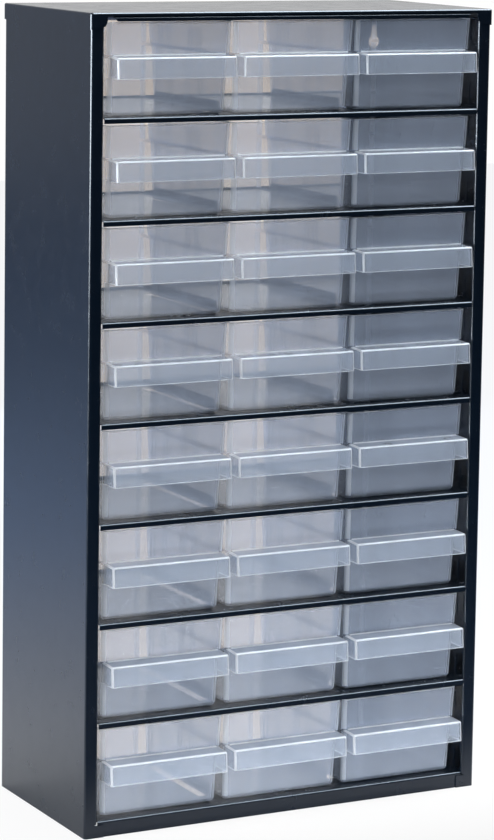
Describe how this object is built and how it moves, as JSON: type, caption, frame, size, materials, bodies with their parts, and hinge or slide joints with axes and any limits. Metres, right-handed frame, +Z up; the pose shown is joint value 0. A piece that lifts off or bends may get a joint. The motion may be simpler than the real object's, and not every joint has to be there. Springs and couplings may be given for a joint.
{
  "type": "parts bin cabinet",
  "caption": "Tall sheet-steel cabinet, open at the back, with rows of clear plastic drawers that slide out by box-shaped handles to hold small parts.",
  "frame": {"origin": "on the floor, under the middle of the bounding box of cabinet and handles", "axes": "+Z up the cabinet, -Y out of its front, where the drawers come out, +X to the right of someone who faces the front"},
  "size_m": [0.306, 0.15, 0.552],
  "materials": {
    "painted_steel": "dark blue semi-gloss powder coat",
    "clear_plastic": "natural polypropylene, see-through and slightly milky"
  },
  "bodies": {
    "cabinet": {"left_side_panel": "painted_steel", "right_side_panel": "painted_steel", "bottom_panel": "painted_steel", "top_panel": "painted_steel", "top_cover": "painted_steel", "shelf_1": "painted_steel", "shelf_2": "painted_steel", "shelf_3": "painted_steel", "shelf_4": "painted_steel", "shelf_5": "painted_steel", "shelf_6": "painted_steel", "shelf_7": "painted_steel"},
    "drawer_r1_c1": {"drawer_r1_c1": "clear_plastic"},
    "drawer_r1_c2": {"drawer_r1_c2": "clear_plastic"},
    "drawer_r1_c3": {"drawer_r1_c3": "clear_plastic"},
    "drawer_r2_c1": {"drawer_r2_c1": "clear_plastic"},
    "drawer_r2_c2": {"drawer_r2_c2": "clear_plastic"},
    "drawer_r2_c3": {"drawer_r2_c3": "clear_plastic"},
    "drawer_r3_c1": {"drawer_r3_c1": "clear_plastic"},
    "drawer_r3_c2": {"drawer_r3_c2": "clear_plastic"},
    "drawer_r3_c3": {"drawer_r3_c3": "clear_plastic"},
    "drawer_r4_c1": {"drawer_r4_c1": "clear_plastic"},
    "drawer_r4_c2": {"drawer_r4_c2": "clear_plastic"},
    "drawer_r4_c3": {"drawer_r4_c3": "clear_plastic"},
    "drawer_r5_c1": {"drawer_r5_c1": "clear_plastic"},
    "drawer_r5_c2": {"drawer_r5_c2": "clear_plastic"},
    "drawer_r5_c3": {"drawer_r5_c3": "clear_plastic"},
    "drawer_r6_c1": {"drawer_r6_c1": "clear_plastic"},
    "drawer_r6_c2": {"drawer_r6_c2": "clear_plastic"},
    "drawer_r6_c3": {"drawer_r6_c3": "clear_plastic"},
    "drawer_r7_c1": {"drawer_r7_c1": "clear_plastic"},
    "drawer_r7_c2": {"drawer_r7_c2": "clear_plastic"},
    "drawer_r7_c3": {"drawer_r7_c3": "clear_plastic"},
    "drawer_r8_c1": {"drawer_r8_c1": "clear_plastic"},
    "drawer_r8_c2": {"drawer_r8_c2": "clear_plastic"},
    "drawer_r8_c3": {"drawer_r8_c3": "clear_plastic"}
  },
  "joints": [
    {"name": "drawer_r1_c1_slide", "type": "slide", "parent": "cabinet", "child": "drawer_r1_c1", "axis": [0, -1, 0], "range_m": [0, 0.135]},
    {"name": "drawer_r1_c2_slide", "type": "slide", "parent": "cabinet", "child": "drawer_r1_c2", "axis": [0, -1, 0], "range_m": [0, 0.135]},
    {"name": "drawer_r1_c3_slide", "type": "slide", "parent": "cabinet", "child": "drawer_r1_c3", "axis": [0, -1, 0], "range_m": [0, 0.135]},
    {"name": "drawer_r2_c1_slide", "type": "slide", "parent": "cabinet", "child": "drawer_r2_c1", "axis": [0, -1, 0], "range_m": [0, 0.135]},
    {"name": "drawer_r2_c2_slide", "type": "slide", "parent": "cabinet", "child": "drawer_r2_c2", "axis": [0, -1, 0], "range_m": [0, 0.135]},
    {"name": "drawer_r2_c3_slide", "type": "slide", "parent": "cabinet", "child": "drawer_r2_c3", "axis": [0, -1, 0], "range_m": [0, 0.135]},
    {"name": "drawer_r3_c1_slide", "type": "slide", "parent": "cabinet", "child": "drawer_r3_c1", "axis": [0, -1, 0], "range_m": [0, 0.135]},
    {"name": "drawer_r3_c2_slide", "type": "slide", "parent": "cabinet", "child": "drawer_r3_c2", "axis": [0, -1, 0], "range_m": [0, 0.135]},
    {"name": "drawer_r3_c3_slide", "type": "slide", "parent": "cabinet", "child": "drawer_r3_c3", "axis": [0, -1, 0], "range_m": [0, 0.135]},
    {"name": "drawer_r4_c1_slide", "type": "slide", "parent": "cabinet", "child": "drawer_r4_c1", "axis": [0, -1, 0], "range_m": [0, 0.135]},
    {"name": "drawer_r4_c2_slide", "type": "slide", "parent": "cabinet", "child": "drawer_r4_c2", "axis": [0, -1, 0], "range_m": [0, 0.135]},
    {"name": "drawer_r4_c3_slide", "type": "slide", "parent": "cabinet", "child": "drawer_r4_c3", "axis": [0, -1, 0], "range_m": [0, 0.135]},
    {"name": "drawer_r5_c1_slide", "type": "slide", "parent": "cabinet", "child": "drawer_r5_c1", "axis": [0, -1, 0], "range_m": [0, 0.135]},
    {"name": "drawer_r5_c2_slide", "type": "slide", "parent": "cabinet", "child": "drawer_r5_c2", "axis": [0, -1, 0], "range_m": [0, 0.135]},
    {"name": "drawer_r5_c3_slide", "type": "slide", "parent": "cabinet", "child": "drawer_r5_c3", "axis": [0, -1, 0], "range_m": [0, 0.135]},
    {"name": "drawer_r6_c1_slide", "type": "slide", "parent": "cabinet", "child": "drawer_r6_c1", "axis": [0, -1, 0], "range_m": [0, 0.135]},
    {"name": "drawer_r6_c2_slide", "type": "slide", "parent": "cabinet", "child": "drawer_r6_c2", "axis": [0, -1, 0], "range_m": [0, 0.135]},
    {"name": "drawer_r6_c3_slide", "type": "slide", "parent": "cabinet", "child": "drawer_r6_c3", "axis": [0, -1, 0], "range_m": [0, 0.135]},
    {"name": "drawer_r7_c1_slide", "type": "slide", "parent": "cabinet", "child": "drawer_r7_c1", "axis": [0, -1, 0], "range_m": [0, 0.135]},
    {"name": "drawer_r7_c2_slide", "type": "slide", "parent": "cabinet", "child": "drawer_r7_c2", "axis": [0, -1, 0], "range_m": [0, 0.135]},
    {"name": "drawer_r7_c3_slide", "type": "slide", "parent": "cabinet", "child": "drawer_r7_c3", "axis": [0, -1, 0], "range_m": [0, 0.135]},
    {"name": "drawer_r8_c1_slide", "type": "slide", "parent": "cabinet", "child": "drawer_r8_c1", "axis": [0, -1, 0], "range_m": [0, 0.135]},
    {"name": "drawer_r8_c2_slide", "type": "slide", "parent": "cabinet", "child": "drawer_r8_c2", "axis": [0, -1, 0], "range_m": [0, 0.135]},
    {"name": "drawer_r8_c3_slide", "type": "slide", "parent": "cabinet", "child": "drawer_r8_c3", "axis": [0, -1, 0], "range_m": [0, 0.135]}
  ]
}
